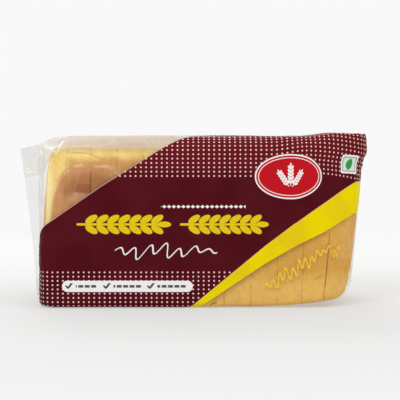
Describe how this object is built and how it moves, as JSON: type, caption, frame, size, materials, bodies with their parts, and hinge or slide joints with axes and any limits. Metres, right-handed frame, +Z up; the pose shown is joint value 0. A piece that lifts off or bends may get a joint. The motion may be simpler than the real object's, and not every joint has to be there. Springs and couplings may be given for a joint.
{
  "type": "loaf in bread bag",
  "caption": "Sliced tin loaf lying on its long side in a sealed film bag, printed in deep red and yellow with clear windows, an upright fin at each end.",
  "frame": {"origin": "on the surface the bag rests on, under the middle of its length and depth", "axes": "+X along the loaf towards the flared end of the bag, +Y away from the printed front, +Z up"},
  "size_m": [0.233, 0.105, 0.1115],
  "materials": {
    "printed_film": "thin glossy film, printed deep red with pale dots and a yellow band, clear in two windows that show the brown bread",
    "clear_film": "thin clear film, slightly milky, with fine creases",
    "bread_crust": "soft golden brown crust with paler rounded edges",
    "bread_crumb": "pale brown crumb with fine open pores"
  },
  "bodies": {
    "root": {"bread_bag": "printed_film"}
  },
  "joints": []
}
